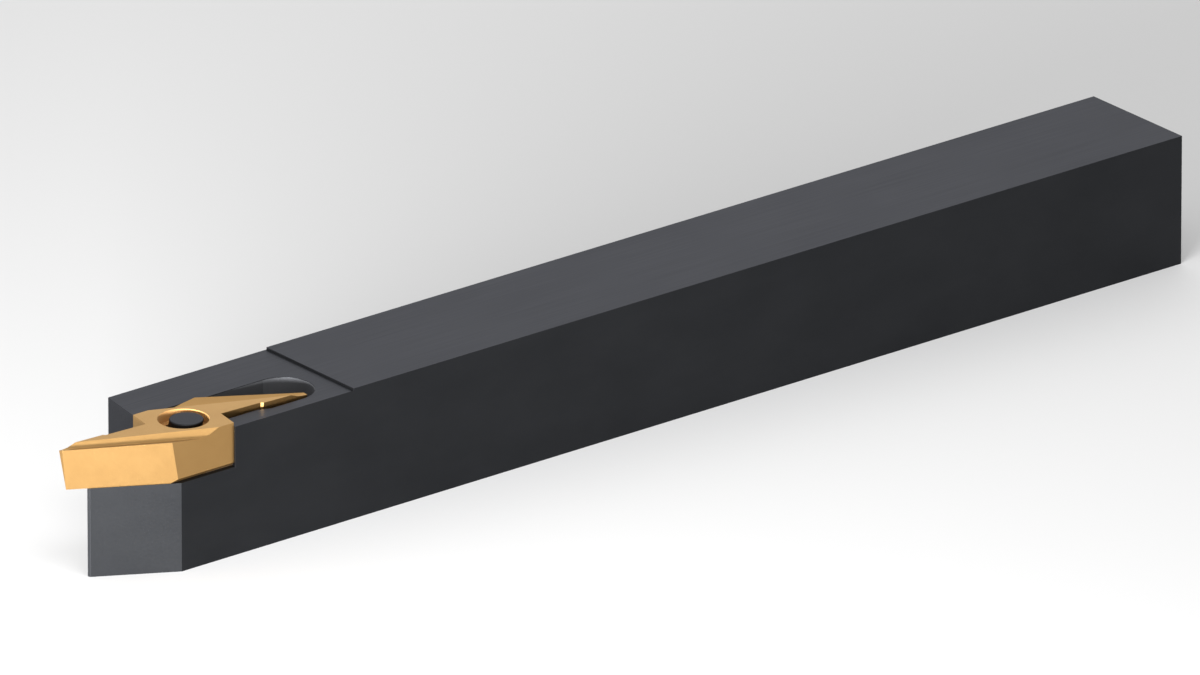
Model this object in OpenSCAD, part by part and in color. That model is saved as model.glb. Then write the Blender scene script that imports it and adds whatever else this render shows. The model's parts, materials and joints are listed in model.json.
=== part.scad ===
// Turning tool holder with a square shank and a double-ended insert, clamped by a lever lock.
// The shank runs along X with its rear end at +X and the cutting tip at -X.
// The near side is -Y, the far side +Y, and the base lies on Z = 0.

/* [Shank] */
// Height of the shank, which is also the height of the cutting edge above the base
shank_h = 12; // [12:1:25]
// Width of the shank
shank_w = 12; // [12:1:25]
// Length over all, from the rear end to the cutting tip
overall_len = 120; // [80:5:170]

/* [Head] */
// Length of the head, from the cutting tip back to the small step in the top
head_len = 27.8; // [27:0.1:40]
// Drop of the head's top below the shank's top
head_step = 0.2; // [0.1:0.05:0.6]
// Lean of the head's front face and of the pocket's end wall, away from square to the shank
face_angle = 10.5; // [6:0.5:14]
// Distance of the head's front face behind the tip, along the far side
far_setback = 10.57; // [10:0.01:12]
// How far the support under the front wing stops short of the insert's tip
support_setback = 2.14; // [1.5:0.01:4]
// Width of the small flat on the support's front corner, across the shank
support_flat = 0.25; // [0.1:0.01:0.6]
// Distance of the support's back face inside the insert's hole axis line, across the shank
support_back_at = 0.61; // [0.4:0.01:1]
// Width of the seat that stays bare in front of the insert's lower front edge
seat_ledge = 0.09; // [0.01:0.01:0.4]
// Radius in the inner corner where the support meets the head's front face
corner_r = 1; // [0.5:0.1:1.5]

/* [Pocket] */
// Width of the clearance slot round the insert's rear wing
slot_w = 5; // [4.8:0.1:5.2]
// Distance from the insert's far side inwards to the slot's far wall
slot_inset = 0.14; // [0.05:0.01:0.3]
// Extra width on the slot's near side, round the rear tip
slot_bay = 0.48; // [0.2:0.02:0.6]
// Length of that extra width, up to the middle of the slot's round end
bay_len = 4.5; // [3:0.1:5]
// Run of the slope that leads to the extra width
bay_run = 1.1; // [0.6:0.1:2]
// Clearance between the insert's tip and the slot's round end
tip_clear = 1.85; // [1:0.05:3]
// Relief cut past the end wall, in the corner where it meets the far wall
corner_relief = 0.1; // [0.08:0.01:0.3]
// Gap between the insert and the walls that it is pulled against
wall_gap = 0.02; // [0:0.01:0.05]

/* [Insert] */
// Thickness of the insert, from its seat to its flat top
insert_t = 4; // [3.5:0.1:5]
// Width of the insert's middle block, across the shank
insert_w = 6.76; // [6.4:0.02:7]
// Distance of the insert's near side inside the holder's near side
insert_inset = 0.19; // [0.1:0.01:0.4]
// Angle of the cutting edge to the shank, in plan
edge_angle = 30; // [28:0.5:32]
// Drop of the cutting edge below the flat top
edge_drop = 0.13; // [0.05:0.01:0.2]
// Length of a wing, from the hole's axis to its tip, along the shank
wing_reach = 12.1; // [11.8:0.01:12.4]
// Distance of the wing's back edge from the hole's axis, carried on to the axis
wing_back = 0.91; // [0.8:0.01:1.1]
// Angle of the wing's back edge to the shank
back_angle = 3; // [1:0.5:5]
// Distance from the hole's axis to the small step in the wing's back edge
back_step_at = 7.36; // [6:0.1:9]
// Height of the step that makes the outer part of the wing stand proud
back_step = 0.18; // [0.05:0.01:0.3]
// Distance from the hole's axis to the shoulder's outer corner
shoulder = 2.79; // [2.6:0.01:3.2]
// Width of the flat on the nose
nose_flat = 0.42; // [0.4:0.01:0.6]
// Distance of the flat's back end inside the cutting edge's line
nose_in = 0.304; // [0.2:0.002:0.36]
// Clearance angle under the cutting edge
edge_relief = 5; // [3:0.5:9]
// Clearance angle under the nose flat
nose_relief = 7; // [3:0.5:9]
// Clearance angle under the wing's back edge, outside the step
back_relief = 3.5; // [0:0.5:5]
// Size of the bevel along the lower edges of the middle block
base_bevel = 0.35; // [0.1:0.05:0.6]
// Radius of the hole
hole_r = 1.9; // [1.88:0.01:2]
// Radius of the hole's bevelled mouth
hole_mouth_r = 2.23; // [2.1:0.01:2.4]

/* [Chip groove] */
// Direction of the groove to the shank, in plan
groove_angle = 24.3; // [22:0.1:28]
// Rise of the groove towards the nose
groove_rise = 0.93; // [0:0.01:1.5]
// Slope of the rake face, down from the cutting edge
rake = 17; // [10:1:20]
// Width of the rake face, up to the foot of the back slope
rake_w = 1.44; // [1.2:0.02:1.6]
// Slope of the groove's back wall
back_slope = 45; // [35:1:60]
// Radius in the bottom of the groove
groove_r = 0.55; // [0.2:0.05:0.7]

/* [Lever lock] */
// Radius of the lever's upper pin, inside the insert
pin_r = 1.5; // [1.3:0.05:1.55]
// Depth of the pin's top below the insert's top
pin_drop = 0.06; // [0:0.02:0.5]
// Distance from the insert's hole to the clamped pin, towards the shank
pin_lead = 0.336; // [0.3:0.01:0.38]
// Radius of the ball-shaped heel on which the lever rocks
heel_r = 1.85; // [1.8:0.05:2]
// Depth of the heel's centre below the seat
heel_depth = 2.13; // [2:0.1:2.6]
// Radius of the lever's tail
tail_r = 1.1; // [0.9:0.05:1.2]
// Radius of the bore round the tail
tail_bore_r = 1.6; // [1.55:0.05:1.7]
// Clearance between the tail's end and the floor of its bore
tail_clear = 0.5; // [0.3:0.1:0.8]
// Floor left under the tail's bore
bore_floor = 1; // [0.8:0.1:1.1]
// Nominal radius of the clamping screw
screw_r = 1.5; // [1.4:0.05:1.6]
// Height of the screw's axis above the base
screw_up = 2.7; // [2.6:0.05:2.8]
// Half angle of the screw's cone
cone_half = 30; // [25:1:35]
// Reach of the cone's imaginary point past the lever's axis
cone_reach = 1; // [0.8:0.05:1.2]
// Radius of the cone's blunt end
cone_end_r = 0.4; // [0.2:0.05:0.6]
// Depth of the screw's outer end inside the holder's far side
screw_sunk = 0.9; // [0.7:0.1:1.5]
// Width across the flats of the screw's socket
socket_af = 1.5; // [1.3:0.1:1.6]
// Depth of the screw's socket
socket_depth = 2; // [1:0.1:2.5]
// Free depth of the screw's hole past its blunt end
screw_ahead = 0.5; // [0.3:0.1:0.8]
// Clearance of the heel, the cone and the screw
run_gap = 0.05; // [0.02:0.01:0.08]

/* [Hidden] */
$fn = 96;

// Ends and sides of the shank, and the heights of its steps
x_rear = overall_len / 2;
x_tip = -overall_len / 2;
x_step = x_tip + head_len;
y_near = -shank_w / 2;
y_far = shank_w / 2;
edge_h = insert_t - edge_drop;
seat_z = shank_h - edge_h;
head_z = shank_h - head_step;

// Axis of the insert's hole
x_hole = x_tip + wing_reach;
y_hole = y_near + insert_inset + insert_w / 2;
half_w = insert_w / 2;

// Insert, seen from above, with the hole's axis at the origin and the front wing towards -X: the back
// end of the nose flat, the cutting edge's near end, and the sharp corner that the nose flat takes off
proud_back = wing_back + back_step;
nose_back = [-wing_reach, proud_back + wing_reach * tan(back_angle)];
edge_offset = wing_reach * sin(edge_angle) - nose_back[1] * cos(edge_angle) + nose_in;
edge_near = [-(edge_offset - half_w * cos(edge_angle)) / sin(edge_angle), -half_w];
corner_x = (edge_offset + proud_back * cos(edge_angle))
    / (sin(edge_angle) - cos(edge_angle) * tan(back_angle));
shoulder_in_x = (shoulder + (half_w - wing_back) * tan(face_angle)) / (1 + tan(back_angle) * tan(face_angle));

// The nose flat joins the back edge at the tip to the cutting edge, at the slope that gives its width
nose_slope = edge_angle + asin(nose_in / nose_flat);
nose_normal = 270 - nose_slope;
nose_offset = nose_back * [cos(nose_normal), sin(nose_normal)];

// Height of the rake face above the seat, at a point seen from above
function rake_z(p) =
    let (run = (p - edge_near) * [-cos(groove_angle), sin(groove_angle)],
         inward = (p - edge_near) * [sin(groove_angle), cos(groove_angle)])
    edge_h + run * tan(groove_rise) - inward * tan(rake) / cos(groove_rise);

// Relief cutters and grooves reach well past the insert, and other cutters a little past what they cut
far_out = 3 * wing_reach;
past = 1;
trim_extra = 0.1;

// Valley of the chip groove: the foot where its two slopes would meet, and the round's centre
foot = [rake_w, -rake_w * tan(rake)];
turn = rake + back_slope;
round_len = groove_r * tan(turn / 2);
rake_end = foot + round_len * [-cos(rake), sin(rake)];
wall_start = foot + round_len * [cos(back_slope), sin(back_slope)];
wall_end = foot + (past - foot[1]) * [1 / tan(back_slope), 1];
round_at = rake_end + groove_r * [sin(rake), cos(rake)];

// Seat's front edge, and the small flat on the support's front corner
support_off = edge_offset - edge_h * tan(edge_relief) + seat_ledge;
x_vertex = front_x(y_near);
y_support = y_hole + support_back_at;
support_back = [x_tip + support_setback, y_support];
support_front = [front_x(y_support - support_flat), y_support - support_flat];
inner_corner = [face_x(y_support), y_support];
fillet_at = [face_x(y_support + corner_r) - corner_r / cos(face_angle), y_support + corner_r];

// Pocket's far wall, and the slot round the rear wing
y_locate = y_hole + half_w + wall_gap;
y_slot_far = y_hole + half_w - slot_inset;
y_slot_near = y_slot_far - slot_w - slot_bay;
slot_end_r = (slot_w + slot_bay) / 2;
x_slot_mid = x_hole + wing_reach + tip_clear - slot_end_r;
x_bay = x_slot_mid - bay_len;

// Lever lock
x_lever = x_hole + pin_lead;
heel_z = seat_z - heel_depth;
lever_bore_r = heel_r + run_gap;
shoulder_z = heel_z - sqrt(heel_r * heel_r - tail_bore_r * tail_bore_r) - run_gap;
tail_len = heel_z - bore_floor - tail_clear;
// The cone's flank lies a running gap off the tail, so the screw stands this far behind the lever
screw_lead = (tail_r + run_gap + cone_reach * sin(cone_half)) / cos(cone_half);
x_screw = x_lever + screw_lead;
screw_body_r = screw_r - run_gap;
y_cone_point = y_hole - cone_reach;
y_cone_end = y_cone_point + cone_end_r / tan(cone_half);
y_cone_base = y_cone_point + screw_body_r / tan(cone_half);
y_screw_out = y_far - screw_sunk;

// Everything beyond a leaning plane. Its outward side faces the plan direction `facing`, it stands
// `offset` from the hole's axis at height `level`, and it leans in below that by `lean` degrees.
module beyond(facing, offset, level, lean, span = [-far_out, far_out]) {
    rotate([0, 0, facing])
        translate([offset, 0, level])
            rotate([0, lean, 0])
                translate([0, span[0], -far_out / 2])
                    cube([far_out, span[1] - span[0], far_out]);
}

// The same cut or form at both ends of the insert, half a turn apart
module both_ends() {
    for (turned = [0, 180])
        rotate([0, 0, turned])
            children();
}

// One half of the insert's outline, from the far shoulder round the front wing to the near side.
// The cutting edge and the proud back edge stand a little outside their true places, for the
// relief cutters to trim.
function half_outline(extra) =
    let (edge_out = edge_near + extra * [-1 / sin(edge_angle), 0],
         corner_out = corner_x + 2 * extra / sin(edge_angle))
    [[-shoulder, half_w],
     [-shoulder_in_x, wing_back + shoulder_in_x * tan(back_angle)],
     [-back_step_at, wing_back + back_step_at * tan(back_angle)],
     [-back_step_at - back_step, proud_back + (back_step_at + back_step) * tan(back_angle)],
     [-corner_out, proud_back + corner_out * tan(back_angle)],
     edge_out];

// Chip groove: rake face, round valley and back wall, carried along the cutting edge
module chip_groove() {
    translate([edge_near[0], edge_near[1], edge_h])
        rotate([0, 0, 90 - groove_angle])
            rotate([90 + groove_rise, 0, 0])
                linear_extrude(height = 2 * far_out, center = true)
                    union() {
                        polygon([[-past, past * tan(rake)], rake_end, wall_start,
                                 wall_end, [-past, wall_end[1]]]);
                        translate(round_at) circle(r = groove_r);
                    }
}

// Bevel along a lower edge of the middle block
module side_bevel() {
    translate([0, -half_w, 0])
        rotate([45, 0, 0])
            cube([far_out, base_bevel * sqrt(2), base_bevel * sqrt(2)], center = true);
}

// Double-ended insert: a middle block with a wing at each end, half a turn apart
module insert_shape() {
    outline = concat(half_outline(trim_extra), [for (p = half_outline(trim_extra)) -p]);
    difference() {
        linear_extrude(height = insert_t) polygon(outline);
        both_ends() {
            beyond(270 - edge_angle, edge_offset, edge_h, edge_relief);
            beyond(nose_normal, nose_offset, rake_z(nose_back), nose_relief);
            beyond(90 - back_angle, proud_back * cos(back_angle), edge_h, back_relief,
                   [(back_step_at + back_step) / cos(back_angle), far_out]);
            chip_groove();
            side_bevel();
        }
        translate([0, 0, -past]) cylinder(r = hole_r, h = insert_t + 2 * past);
        translate([0, 0, insert_t - (hole_mouth_r - hole_r)])
            cylinder(r1 = hole_r, r2 = 2 * hole_mouth_r - hole_r, h = 2 * (hole_mouth_r - hole_r));
    }
}

module insert() {
    color("#c8a064")
        translate([x_hole, y_hole, seat_z])
            insert_shape();
}

// Where the head's front face, the pocket's end wall and the support's front face lie at a given Y
function face_x(y) = x_tip + far_setback + (y - y_far) * tan(face_angle);
function wall_x(y) = x_hole + shoulder + wall_gap + (y - y_hole + half_w) * tan(face_angle);
function front_x(y) = x_hole - (support_off + (y - y_hole) * cos(edge_angle)) / sin(edge_angle);

// Shank, and the head in front of it, whose top lies a little lower
module blank() {
    translate([x_step, y_near, 0])
        cube([x_rear - x_step, shank_w, shank_h]);
    linear_extrude(height = head_z) {
        polygon([[x_step + past, y_near], [x_step + past, y_far], [face_x(y_far), y_far],
                 inner_corner, support_back, support_front, [x_vertex, y_near]]);
        difference() {
            polygon([inner_corner, [fillet_at[0], y_support], fillet_at,
                     fillet_at + corner_r * [cos(face_angle), -sin(face_angle)]]);
            translate(fillet_at) circle(r = corner_r);
        }
    }
}

// Seat and walls for the insert's middle block, and the slot that clears its rear wing
module pocket() {
    translate([0, 0, seat_z])
        linear_extrude(height = shank_h) {
            polygon([[x_tip - past, y_near - past], [wall_x(y_near - past), y_near - past],
                     [wall_x(y_locate), y_locate], [x_tip - past, y_locate]]);
            translate([x_hole, y_slot_far - corner_relief])
                square([wall_x(y_locate) + corner_relief - x_hole, y_locate - y_slot_far + corner_relief]);
            translate([x_hole, y_slot_far - slot_w])
                square([x_slot_mid - x_hole, slot_w]);
            polygon([[x_bay, y_slot_far - slot_w], [x_bay + bay_run, y_slot_near],
                     [x_slot_mid, y_slot_near], [x_slot_mid, y_slot_far], [x_bay, y_slot_far]]);
            translate([x_slot_mid, (y_slot_near + y_slot_far) / 2])
                circle(r = slot_end_r);
        }
}

// Bores that hold the lever, and the tapped hole of its screw
module lever_bores() {
    translate([x_lever, y_hole, shoulder_z])
        cylinder(r = lever_bore_r, h = shank_h);
    translate([x_lever, y_hole, bore_floor])
        cylinder(r = tail_bore_r, h = shank_h);
    translate([x_screw, y_cone_end - screw_ahead, screw_up])
        rotate([-90, 0, 0])
            cylinder(r = screw_r, h = 2 * shank_w);
}

module holder() {
    color("#37383a")
        difference() {
            blank();
            pocket();
            lever_bores();
        }
}

// Lever: a pin that stands in the insert's hole, a round heel to rock on, and a tail
module clamp_lever() {
    color("#4a4c50")
        translate([x_lever, y_hole, heel_z]) {
            cylinder(r = pin_r, h = shank_h - pin_drop + (insert_t - edge_h) - heel_z);
            sphere(r = heel_r);
            translate([0, 0, -tail_len]) cylinder(r = tail_r, h = tail_len);
        }
}

// Screw whose cone pushes the lever's tail forward
module lever_screw() {
    color("#3c3d40")
        translate([x_screw, 0, screw_up])
            rotate([-90, 0, 0])
                difference() {
                    rotate_extrude()
                        polygon([[0, y_cone_end], [cone_end_r, y_cone_end], [screw_body_r, y_cone_base],
                                 [screw_body_r, y_screw_out], [0, y_screw_out]]);
                    translate([0, 0, y_screw_out - socket_depth])
                        cylinder(r = socket_af / 2 / cos(30), h = 2 * socket_depth, $fn = 6);
                }
}

holder();
insert();
clamp_lever();
lever_screw();
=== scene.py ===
import json
import math

import bmesh
import bpy
import numpy as np
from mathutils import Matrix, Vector


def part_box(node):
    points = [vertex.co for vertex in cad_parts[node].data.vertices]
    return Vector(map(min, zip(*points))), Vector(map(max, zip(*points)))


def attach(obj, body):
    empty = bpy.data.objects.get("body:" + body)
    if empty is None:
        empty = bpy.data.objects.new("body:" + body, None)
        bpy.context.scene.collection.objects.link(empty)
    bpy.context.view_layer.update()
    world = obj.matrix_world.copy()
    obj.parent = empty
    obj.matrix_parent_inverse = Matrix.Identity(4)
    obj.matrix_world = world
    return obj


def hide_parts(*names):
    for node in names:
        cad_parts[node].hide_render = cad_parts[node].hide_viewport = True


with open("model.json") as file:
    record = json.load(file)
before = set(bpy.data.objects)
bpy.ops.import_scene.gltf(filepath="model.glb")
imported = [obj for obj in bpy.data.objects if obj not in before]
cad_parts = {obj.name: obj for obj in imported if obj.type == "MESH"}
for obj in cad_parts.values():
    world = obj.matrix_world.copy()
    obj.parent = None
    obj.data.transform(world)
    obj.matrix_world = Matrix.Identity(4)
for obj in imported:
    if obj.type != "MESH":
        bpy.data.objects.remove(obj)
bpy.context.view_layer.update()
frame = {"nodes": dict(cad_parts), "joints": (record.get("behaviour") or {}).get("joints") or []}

MM = 0.001
IMAGE_WIDTH_PX = 1200
# Points round each turned row, and the distance below which two points are one
SIDES = 96
JOIN_MM = 0.0005
# An edge is sharp where the surface turns by this much
SHARP_TURN = math.radians(28)
# Distance between two rings of Blender's wave pattern at scale 1
WAVE_LENGTH = math.pi / 10
# Most of a noise pattern lies in this run of values
NOISE_RUN = {"From Min": 0.3, "From Max": 0.7}

# The lever rocks about its heel, and the insert's hole stands a little in front of it, in mm
heel = Vector(next(joint["pos_m"] for joint in frame["joints"] if joint["name"] == "lever_rock")) / MM
PIN_LEAD = 0.336
hole_x, hole_y = heel.x - PIN_LEAD, heel.y
insert_low, insert_high = (corner.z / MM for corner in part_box("insert"))
tail_end, pin_top = (corner.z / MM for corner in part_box("clamp_lever"))

# The insert's hole: a flat-bottomed mouth, and the close bore below it that the pin presses on
MOUTH_R, MOUTH_DEPTH = 2.24, 0.94
BORE_R = 1.66
CAD_BORE_R = 1.9
HOLE_MARGIN = 0.02
# A collar narrows the CAD bore. How far it goes into the bore's wall and above the mouth's floor, and
# how far it stops short of the insert's base
COLLAR_IN, COLLAR_ABOVE, COLLAR_SHORT = 0.1, 0.2, 0.05
# How far the cutters of the mouth and the bore reach past the insert
CUT_PAST = 1

# How far inside the holder's box its milled walls, which are painted a lighter grey as painted light, are
# told from its outer faces: on the near side, on the top, and on the other sides
NEAR_MARGIN, TOP_MARGIN, WALL_MARGIN = 0.5, 0.25, 0.1

# The lever: its head leans towards the shank, above a neck, the heel's ball and the tail
HEAD_R, NECK_R, HEEL_R, TAIL_R = 1.47, 1.15, 1.85, 1.1
HEAD_LEAN = math.tan(math.radians(9.9))
HEAD_LEN, TAPER_LEN = 1.37, 0.8
PIN_EDGE, TAIL_EDGE = 0.05, 0.15
BALL_ROWS = 40

# The screw: a standard coarse thread of 3 mm, in the hole that leads to the lever's tail
SCREW_R, PITCH, THREAD_DEPTH = 1.45, 0.5, 0.3
CONE_END_R, SOCKET_AF, SOCKET_DEPTH, SCREW_EDGE = 0.4, 1.5, 2.0, 0.25
CONE_HALF = math.radians(30)
ROWS_A_TURN = 16


# Colour and node helpers

def linear(hex_colour):
    """sRGB hex such as "#c8a064" as linear red, green, blue and alpha 1."""
    parts = [int(hex_colour[i:i + 2], 16) / 255 for i in (1, 3, 5)]
    return [c / 12.92 if c <= 0.04045 else ((c + 0.055) / 1.055) ** 2.4 for c in parts] + [1.0]


def add(tree, kind, settings=None, inputs=None):
    """Adds a node. settings are its properties; inputs are values, or sockets to link from."""
    node = tree.nodes.new(kind)
    for name, value in (settings or {}).items():
        setattr(node, name, value)
    for name, value in (inputs or {}).items():
        if isinstance(value, bpy.types.NodeSocket):
            tree.links.new(value, node.inputs[name])
        else:
            node.inputs[name].default_value = value
    return node


def blank_material(name):
    """An empty node material, its tree and its output node."""
    material = bpy.data.materials.new(name)
    material.use_nodes = True
    tree = material.node_tree
    tree.nodes.clear()
    return material, tree, add(tree, "ShaderNodeOutputMaterial")


def grain(tree, size_mm, detail):
    """A pattern of grains that are size_mm = (x, y, z) across, in Object coordinates."""
    place = add(tree, "ShaderNodeTexCoord")
    scaled = add(tree, "ShaderNodeMapping", {"vector_type": "POINT"},
                 {"Vector": place.outputs["Object"], "Scale": [1 / (side * MM) for side in size_mm]})
    return add(tree, "ShaderNodeTexNoise", {},
               {"Vector": scaled.outputs["Vector"], "Scale": 1.0, "Detail": detail,
                "Roughness": 0.55}).outputs["Fac"]


def within(tree, low_mm, high_mm):
    """1 inside a box in Object coordinates and 0 outside: max(|p - middle| - half its size) < 0."""
    low, high = Vector(low_mm) * MM, Vector(high_mm) * MM
    place = add(tree, "ShaderNodeTexCoord")
    from_middle = add(tree, "ShaderNodeVectorMath", {"operation": "SUBTRACT"},
                      {0: place.outputs["Object"], 1: (low + high) / 2})
    size = add(tree, "ShaderNodeVectorMath", {"operation": "ABSOLUTE"}, {0: from_middle.outputs[0]})
    past = add(tree, "ShaderNodeVectorMath", {"operation": "SUBTRACT"},
               {0: size.outputs[0], 1: (high - low) / 2})
    axes = add(tree, "ShaderNodeSeparateXYZ", {}, {"Vector": past.outputs[0]}).outputs
    across = add(tree, "ShaderNodeMath", {"operation": "MAXIMUM"}, {0: axes["X"], 1: axes["Y"]})
    furthest = add(tree, "ShaderNodeMath", {"operation": "MAXIMUM"}, {0: across.outputs[0], 1: axes["Z"]})
    inside = add(tree, "ShaderNodeMath", {"operation": "LESS_THAN"}, {0: furthest.outputs[0], 1: 0.0})
    return inside.outputs[0]


# Materials

def black_oxide_steel():
    """Tool steel, milled, ground and blackened hot. The oxide is a matt near-black with a faint cool
    cast, slightly uneven in tone, over fine grinding lines that run along the shank. The walls of the
    slot and the bores are left as milled and rougher, and are painted a much lighter grey: painted
    light, which stands in for the light that these recesses catch from above."""
    material, tree, output = blank_material("black_oxide_steel")
    # The bath leaves the oxide uneven over some millimetres
    clouds = grain(tree, (9, 5, 5), detail=4.0)
    # Real grinding lines are about 0.02 mm apart: they are drawn at 0.12 mm so that they show
    lines = grain(tree, (14, 0.12, 0.12), detail=2.0)
    # The crystals of the oxide are finer than 0.01 mm: they are drawn at 0.09 mm
    crystals = grain(tree, (0.09, 0.09, 0.09), detail=2.0)
    tone = add(tree, "ShaderNodeMapRange", {}, {"Value": clouds, **NOISE_RUN}).outputs["Result"]
    ground_colour = add(tree, "ShaderNodeMix", {"data_type": "RGBA"},
                        {"Factor": tone, "A": linear("#28292b"), "B": linear("#2c2d2f")}).outputs["Result"]
    ground_rough = add(tree, "ShaderNodeMapRange", {},
                       {"Value": lines, **NOISE_RUN, "To Min": 0.44, "To Max": 0.50}).outputs["Result"]

    # Behind the axis of the insert's hole, every face well inside the holder's box is a milled one.
    # These recessed faces are rougher, and are painted a lighter grey as painted light
    low, high = (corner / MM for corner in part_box("holder"))
    milled_painted_light = within(tree, (hole_x, low.y + NEAR_MARGIN, low.z + WALL_MARGIN),
                       (high.x - WALL_MARGIN, high.y - WALL_MARGIN, high.z - TOP_MARGIN))
    # Painted light: the milled walls of the slot and bores get a much lighter grey than the oxide
    colour = add(tree, "ShaderNodeMix", {"data_type": "RGBA"},
                 {"Factor": milled_painted_light, "A": ground_colour, "B": linear("#606164")}).outputs["Result"]
    rough = add(tree, "ShaderNodeMix", {"data_type": "FLOAT"},
                {"Factor": milled_painted_light, "A": ground_rough, "B": 0.8}).outputs["Result"]
    height = add(tree, "ShaderNodeMath", {"operation": "ADD"}, {0: lines, 1: crystals}).outputs[0]
    bump = add(tree, "ShaderNodeBump", {}, {"Strength": 0.10, "Distance": 0.004 * MM, "Height": height})
    shader = add(tree, "ShaderNodeBsdfPrincipled", {},
                 {"Base Color": colour, "Metallic": 1.0, "Specular Tint": linear("#f1f2f8"),
                  "Roughness": rough, "Normal": bump.outputs["Normal"]})
    tree.links.new(shader.outputs[0], output.inputs["Surface"])
    return material


def gold_nitride_carbide(name, darkest, lightest, smoothest, roughest):
    """Cemented carbide coated with gold-coloured nitride. On ground faces the coat is a warm satin metal
    colour, even to the eye, with a fine peppering from the carbide below. On faces left as sintered it
    is rougher, so that it scatters light and looks duller. The lighter gold given to those faces in
    the hole is painted light."""
    material, tree, output = blank_material(name)
    # The coat's tone varies a little over a few millimetres
    clouds = grain(tree, (2.5, 2.5, 2.5), detail=3.0)
    # Carbide grains are about 0.001 mm: they are drawn at 0.07 mm
    pepper = grain(tree, (0.07, 0.07, 0.07), detail=2.0)
    tone = add(tree, "ShaderNodeMapRange", {}, {"Value": clouds, **NOISE_RUN}).outputs["Result"]
    colour = add(tree, "ShaderNodeMix", {"data_type": "RGBA"},
                 {"Factor": tone, "A": linear(darkest), "B": linear(lightest)}).outputs["Result"]
    rough = add(tree, "ShaderNodeMapRange", {},
                {"Value": pepper, **NOISE_RUN, "To Min": smoothest, "To Max": roughest}).outputs["Result"]
    bump = add(tree, "ShaderNodeBump", {}, {"Strength": 0.12, "Distance": 0.003 * MM, "Height": pepper})
    shader = add(tree, "ShaderNodeBsdfPrincipled", {},
                 {"Base Color": colour, "Metallic": 1.0, "Specular Tint": linear("#fff8e8"),
                  "Roughness": rough, "Normal": bump.outputs["Normal"]})
    tree.links.new(shader.outputs[0], output.inputs["Surface"])
    return material


def turned_black_steel(name, centre_mm, along):
    """Hardened steel, turned and blackened. It is the holder's near-black, a little smoother, and the
    lathe has left fine rings round the axis through centre_mm that runs along "Y" or "Z"."""
    material, tree, output = blank_material(name)
    place = add(tree, "ShaderNodeTexCoord")
    centred = add(tree, "ShaderNodeMapping", {"vector_type": "POINT"},
                  {"Vector": place.outputs["Object"], "Scale": [1 / MM] * 3, "Location": -centre_mm})
    # Real rings are about 0.05 mm apart: they are drawn at 0.2 mm so that they show
    rings = add(tree, "ShaderNodeTexWave", {"wave_type": "RINGS", "rings_direction": along},
                {"Vector": centred.outputs["Vector"], "Scale": WAVE_LENGTH / 0.2, "Distortion": 0.6,
                 "Detail Scale": 2.0}).outputs["Fac"]
    # The crystals of the oxide are drawn at 0.09 mm, as on the holder
    crystals = grain(tree, (0.09, 0.09, 0.09), detail=2.0)
    colour = add(tree, "ShaderNodeMix", {"data_type": "RGBA"},
                 {"Factor": rings, "A": linear("#292a2c"), "B": linear("#2f3032")}).outputs["Result"]
    rough = add(tree, "ShaderNodeMapRange", {},
                {"Value": crystals, **NOISE_RUN, "To Min": 0.42, "To Max": 0.50}).outputs["Result"]
    height = add(tree, "ShaderNodeMath", {"operation": "ADD"}, {0: rings, 1: crystals}).outputs[0]
    bump = add(tree, "ShaderNodeBump", {}, {"Strength": 0.12, "Distance": 0.004 * MM, "Height": height})
    shader = add(tree, "ShaderNodeBsdfPrincipled", {},
                 {"Base Color": colour, "Metallic": 1.0, "Specular Tint": linear("#e1e2e7"),
                  "Roughness": rough, "Normal": bump.outputs["Normal"]})
    tree.links.new(shader.outputs[0], output.inputs["Surface"])
    return material


# Pieces

def skin(name, grid_mm):
    """A closed skin over a grid of points in mm. Each row is a loop, counter-clockwise seen from where
    the rows lead to. Neighbouring rows are joined by quads, and the first and last rows are capped."""
    rows, sides = grid_mm.shape[:2]
    here = np.arange(rows * sides).reshape(rows, sides)
    beside = np.roll(here, -1, axis=1)
    quads = np.stack([here[:-1], beside[:-1], beside[1:], here[1:]], axis=-1).reshape(-1, 4)
    caps = [here[0, ::-1].tolist(), here[-1].tolist()]
    mesh = bpy.data.meshes.new(name)
    mesh.from_pydata((grid_mm.reshape(-1, 3) * MM).tolist(), [], quads.tolist() + caps)
    piece = bpy.data.objects.new(name, mesh)
    bpy.context.scene.collection.objects.link(piece)
    return piece


def upright(name, centre_x, radii, heights):
    """Horizontal circles one above the other: row i has its centre at (centre_x[i], heel.y,
    heights[i]) and the radius radii[i]. Point j of a row stands at the angle 360 j / SIDES degrees."""
    angle = np.linspace(0, 2 * math.pi, SIDES, endpoint=False)
    centre_x, radii, heights = (np.asarray(row, float)[:, None] for row in (centre_x, radii, heights))
    grid = np.stack([centre_x + radii * np.cos(angle), heel.y + radii * np.sin(angle),
                     heights + 0 * angle], axis=-1)
    return skin(name, grid)


def smooth_by_angle(mesh):
    """Smooth shading, apart from edges where the surface turns by SHARP_TURN or more."""
    work = bmesh.new()
    work.from_mesh(mesh)
    for face in work.faces:
        face.smooth = True
    for edge in work.edges:
        edge.smooth = edge.is_manifold and edge.calc_face_angle(math.pi) < SHARP_TURN
    work.to_mesh(mesh)
    work.free()


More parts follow.
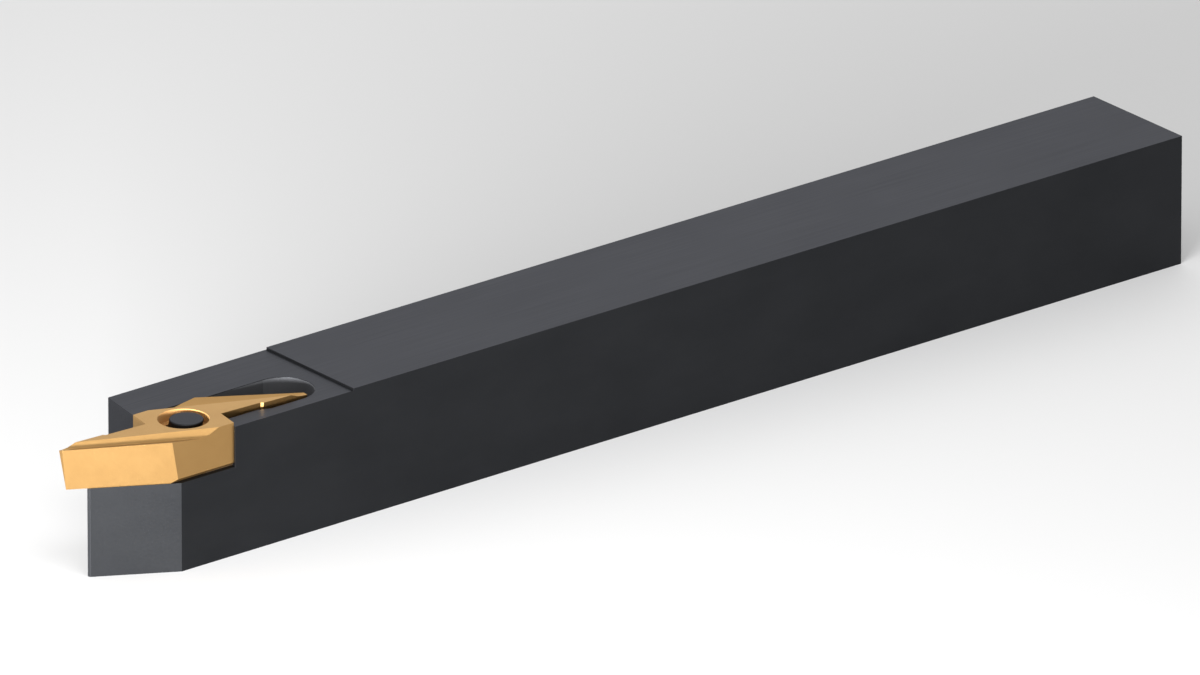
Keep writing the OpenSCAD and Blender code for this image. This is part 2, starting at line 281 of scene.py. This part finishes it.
def insert_with_mouth():
    """The CAD insert, with the true form of its hole: a collar narrows the bore up to the mouth's
    floor, and the mouth is sunk from the top."""
    mesh = frame["nodes"]["insert"].data.copy()
    work = bmesh.new()
    work.from_mesh(mesh)
    bmesh.ops.remove_doubles(work, verts=work.verts, dist=JOIN_MM * MM)
    work.to_mesh(mesh)
    work.free()
    piece = bpy.data.objects.new("coated_insert", mesh)
    bpy.context.scene.collection.objects.link(piece)

    floor_z = insert_high - MOUTH_DEPTH
    collar_low, collar_high = insert_low + COLLAR_SHORT, floor_z + COLLAR_ABOVE
    collar_r = CAD_BORE_R + COLLAR_IN
    collar = upright("collar", [hole_x] * 4, [BORE_R, collar_r, collar_r, BORE_R],
                     [collar_low, collar_low, collar_high, collar_high])
    mouth = upright("mouth", [hole_x] * 2, [MOUTH_R] * 2, [floor_z, insert_high + CUT_PAST])
    bore = upright("bore", [hole_x] * 2, [BORE_R] * 2, [insert_low - CUT_PAST, insert_high + CUT_PAST])
    for tool, operation in ((collar, "UNION"), (mouth, "DIFFERENCE"), (bore, "DIFFERENCE")):
        cut = piece.modifiers.new(tool.name, "BOOLEAN")
        cut.object, cut.operation, cut.solver = tool, operation, "EXACT"
    depsgraph = bpy.context.evaluated_depsgraph_get()
    piece.data = bpy.data.meshes.new_from_object(piece.evaluated_get(depsgraph))
    piece.modifiers.clear()
    for tool in (collar, mouth, bore):
        bpy.data.objects.remove(tool)
    smooth_by_angle(piece.data)
    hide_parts("insert")
    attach(piece, "holder")
    return piece


def sinter_hole_with_painted_light(piece, material):
    """Gives the faces inside the insert's hole, which aren't ground, a rougher finish of their own, in a
    lighter gold that is painted light in the hole.
    """
    mesh = piece.data
    centre = np.empty(len(mesh.polygons) * 3)
    mesh.polygons.foreach_get("center", centre)
    x, y, z = centre.reshape(-1, 3).T / MM
    inside = np.hypot(x - hole_x, y - hole_y) < MOUTH_R + HOLE_MARGIN
    inside &= (z > insert_low + HOLE_MARGIN) & (z < insert_high - HOLE_MARGIN)
    mesh.materials.append(material)
    mesh.polygons.foreach_set("material_index", inside.astype(np.int32))


def rocking_lever():
    """The lever as upright circles. From below: the tail, the heel's ball with the radius
    sqrt(HEEL_R^2 - (z - heel.z)^2), the neck, a taper, and the head. The head's circles are level
    but their centres lean towards the shank by HEAD_LEAN for each mm of height."""
    ball_low = math.asin(TAIL_R / HEEL_R) - math.pi / 2
    ball_high = math.pi / 2 - math.asin(NECK_R / HEEL_R)
    rise = np.linspace(ball_low, ball_high, BALL_ROWS)
    head_low = pin_top - HEAD_LEN
    ball_r, ball_z = HEEL_R * np.cos(rise), heel.z + HEEL_R * np.sin(rise)
    radii = np.concatenate([[TAIL_R - TAIL_EDGE, TAIL_R], ball_r,
                            [NECK_R, HEAD_R, HEAD_R, HEAD_R - PIN_EDGE]])
    heights = np.concatenate([[tail_end, tail_end + TAIL_EDGE], ball_z,
                              [head_low - TAPER_LEN, head_low, pin_top - PIN_EDGE, pin_top]])
    lean = np.clip((heights - ball_z[-1]) / (head_low - ball_z[-1]), 0, 1)
    centre_x = heel.x - lean * (pin_top - np.maximum(heights, head_low)) * HEAD_LEAN
    piece = upright("rocking_lever", centre_x, radii, heights)
    smooth_by_angle(piece.data)
    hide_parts("clamp_lever")
    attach(piece, "lever")
    return piece


def threaded_screw():
    """The screw, along Y. Its thread is the radius SCREW_R less THREAD_DEPTH times a triangle wave of
    (y / PITCH - angle / 360), which fades out at both ends. A cone leads to the blunt end, and a
    six-sided socket is sunk in the other: its radius is half the width across flats over the cosine
    of the angle from the middle of a flat."""
    low, high = (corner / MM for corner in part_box("lever_screw"))
    x, z = (low.x + high.x) / 2, (low.z + high.z) / 2
    angle = np.linspace(0, 2 * math.pi, SIDES, endpoint=False)
    cone_len = (SCREW_R - CONE_END_R) / math.tan(CONE_HALF)
    y = np.arange(low.y + cone_len, high.y - SCREW_EDGE, PITCH / ROWS_A_TURN)[:, None]
    wave = 2 * np.abs((y / PITCH - angle / (2 * math.pi)) % 1 - 0.5)
    fade = np.clip(np.minimum(y - y[0], y[-1] - y) / PITCH, 0, 1)
    thread = SCREW_R - THREAD_DEPTH * fade * wave
    sixth = math.pi / 3
    socket = SOCKET_AF / 2 / np.cos((angle + sixth / 2) % sixth - sixth / 2)
    level = np.ones(SIDES)
    radius = np.vstack([CONE_END_R * level, thread, (SCREW_R - SCREW_EDGE) * level, socket, socket])
    along = np.concatenate([[low.y], y[:, 0], [high.y, high.y, high.y - SOCKET_DEPTH]])[:, None]
    grid = np.stack([x - radius * np.cos(angle), along + 0 * angle, z + radius * np.sin(angle)], axis=-1)
    piece = skin("threaded_screw", grid)
    smooth_by_angle(piece.data)
    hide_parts("lever_screw")
    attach(piece, "screw")
    return piece


def dress(piece, material):
    """Gives a piece that is built here its finish."""
    piece.data.materials.clear()
    piece.data.materials.append(material)


def break_edges(piece, edge_mm):
    """Takes edge_mm off a piece's sharp edges."""
    join = piece.modifiers.new("joined_faces", "WELD")
    join.merge_threshold = JOIN_MM * MM
    edges = piece.modifiers.new("broken_edges", "BEVEL")
    edges.width = edge_mm * MM
    edges.segments = 2
    edges.limit_method = "ANGLE"
    edges.angle_limit = SHARP_TURN


# Studio

def lamp(name, at_mm, aim_mm, size_mm, level):
    """A soft lamp, size_mm = (width, height). level is how bright it makes a white surface that faces
    it at the aim: its power over the square of pi times the distance."""
    at, aim = Vector(at_mm) * MM, Vector(aim_mm) * MM
    light = bpy.data.lights.new(name, "AREA")
    light.shape = "RECTANGLE"
    light.size, light.size_y = (side * MM for side in size_mm)
    light.energy = level * math.pi ** 2 * (aim - at).length_squared
    lamp_object = bpy.data.objects.new(name, light)
    lamp_object.location = at
    lamp_object.rotation_euler = (aim - at).to_track_quat("-Z", "Y").to_euler()
    lamp_object.visible_camera = False
    bpy.context.scene.collection.objects.link(lamp_object)


def paper_floor():
    """A sheet of plain matt paper, 4 m across. It scatters light evenly, so only soft shadows show."""
    half = 2.0
    mesh = bpy.data.meshes.new("floor")
    mesh.from_pydata([(-half, -half, 0), (half, -half, 0), (half, half, 0), (-half, half, 0)],
                     [], [(0, 1, 2, 3)])
    floor = bpy.data.objects.new("floor", mesh)
    bpy.context.scene.collection.objects.link(floor)
    material, tree, output = blank_material("white_paper")
    paper = add(tree, "ShaderNodeBsdfDiffuse", {}, {"Color": linear("#d2d2d2")})
    tree.links.new(paper.outputs[0], output.inputs["Surface"])
    mesh.materials.append(material)


def white_surround():
    """A plain white surround. The camera, gloss and clear pieces see it in full, and it lights matt
    surfaces a little more softly, so that the floor keeps the object's shadow."""
    world = bpy.data.worlds.new("studio")
    world.use_nodes = True
    bpy.context.scene.world = world
    tree = world.node_tree
    tree.nodes.clear()
    rays = add(tree, "ShaderNodeLightPath").outputs
    mirrored = add(tree, "ShaderNodeMath", {"operation": "MAXIMUM"},
                   {0: rays["Is Glossy Ray"], 1: rays["Is Transmission Ray"]}).outputs[0]
    seen = add(tree, "ShaderNodeMath", {"operation": "MAXIMUM"},
               {0: rays["Is Camera Ray"], 1: mirrored}).outputs[0]
    strength = add(tree, "ShaderNodeMapRange", {}, {"Value": seen, "To Min": 0.7, "To Max": 1.0})
    air = add(tree, "ShaderNodeBackground", {},
              {"Color": linear("#ffffff"), "Strength": strength.outputs["Result"]})
    add(tree, "ShaderNodeOutputWorld", {}, {"Surface": air.outputs[0]})


def studio():
    """The floor, the surround and three soft lamps: one low in front of the insert, whose flank
    reflects it, and weak ones high in front and behind, for the groove and the top faces."""
    paper_floor()
    white_surround()
    head = (-50, -2, 8)
    lamp("key", at_mm=(-300, -150, 28), aim_mm=head, size_mm=(200, 44), level=8.8)
    lamp("top", at_mm=(-60, -260, 420), aim_mm=head, size_mm=(260, 200), level=0.25)
    lamp("back", at_mm=(272, 337, 350), aim_mm=(0, 0, 12), size_mm=(350, 350), level=0.12)


def camera():
    """The angles, the scale and the centre were solved from edges in the photograph. It has no
    perspective, so the lens is long, and stands at the distance that gives the photograph's scale. A
    longer one would have to stand out of the reach of views from other sides."""
    azimuth, elevation = math.radians(-38.988), math.radians(22.178)
    pixels_per_mm = 11.6206
    frame_centre = Vector((-1.247, -1.141, 7.219)) * MM
    lens_ratio = 26
    distance = IMAGE_WIDTH_PX / pixels_per_mm * MM * lens_ratio
    towards_camera = Vector((math.sin(azimuth) * math.cos(elevation),
                             -math.cos(azimuth) * math.cos(elevation), math.sin(elevation)))
    lens = bpy.data.cameras.new("camera")
    lens.lens = lens_ratio * lens.sensor_width
    lens.clip_start, lens.clip_end = distance / 10, distance * 3
    view = bpy.data.objects.new("camera", lens)
    view.location = frame_centre + towards_camera * distance
    view.rotation_euler = (math.pi / 2 - elevation, 0, azimuth)
    bpy.context.scene.collection.objects.link(view)
    bpy.context.scene.camera = view


bpy.context.scene.view_settings.view_transform = "Standard"

holder = frame["nodes"]["holder"]
holder.material_slots[0].material = black_oxide_steel()
break_edges(holder, edge_mm=0.04)

insert = insert_with_mouth()
dress(insert, gold_nitride_carbide("ground_gold_nitride", "#9a784a", "#9f7d4e",
                                   smoothest=0.36, roughest=0.46))
# Painted light: the faces in the hole get a lighter gold than the ground faces
sinter_hole_with_painted_light(insert, gold_nitride_carbide("sintered_gold_nitride_painted_light", "#c8a06a", "#cea670",
                                                    smoothest=0.8, roughest=0.9))
break_edges(insert, edge_mm=0.03)

lever = rocking_lever()
dress(lever, turned_black_steel("turned_lever_steel", heel, "Z"))
break_edges(lever, edge_mm=0.02)

screw_low, screw_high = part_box("lever_screw")
dress(threaded_screw(), turned_black_steel("turned_screw_steel", (screw_low + screw_high) / 2 / MM, "Y"))

studio()
camera()
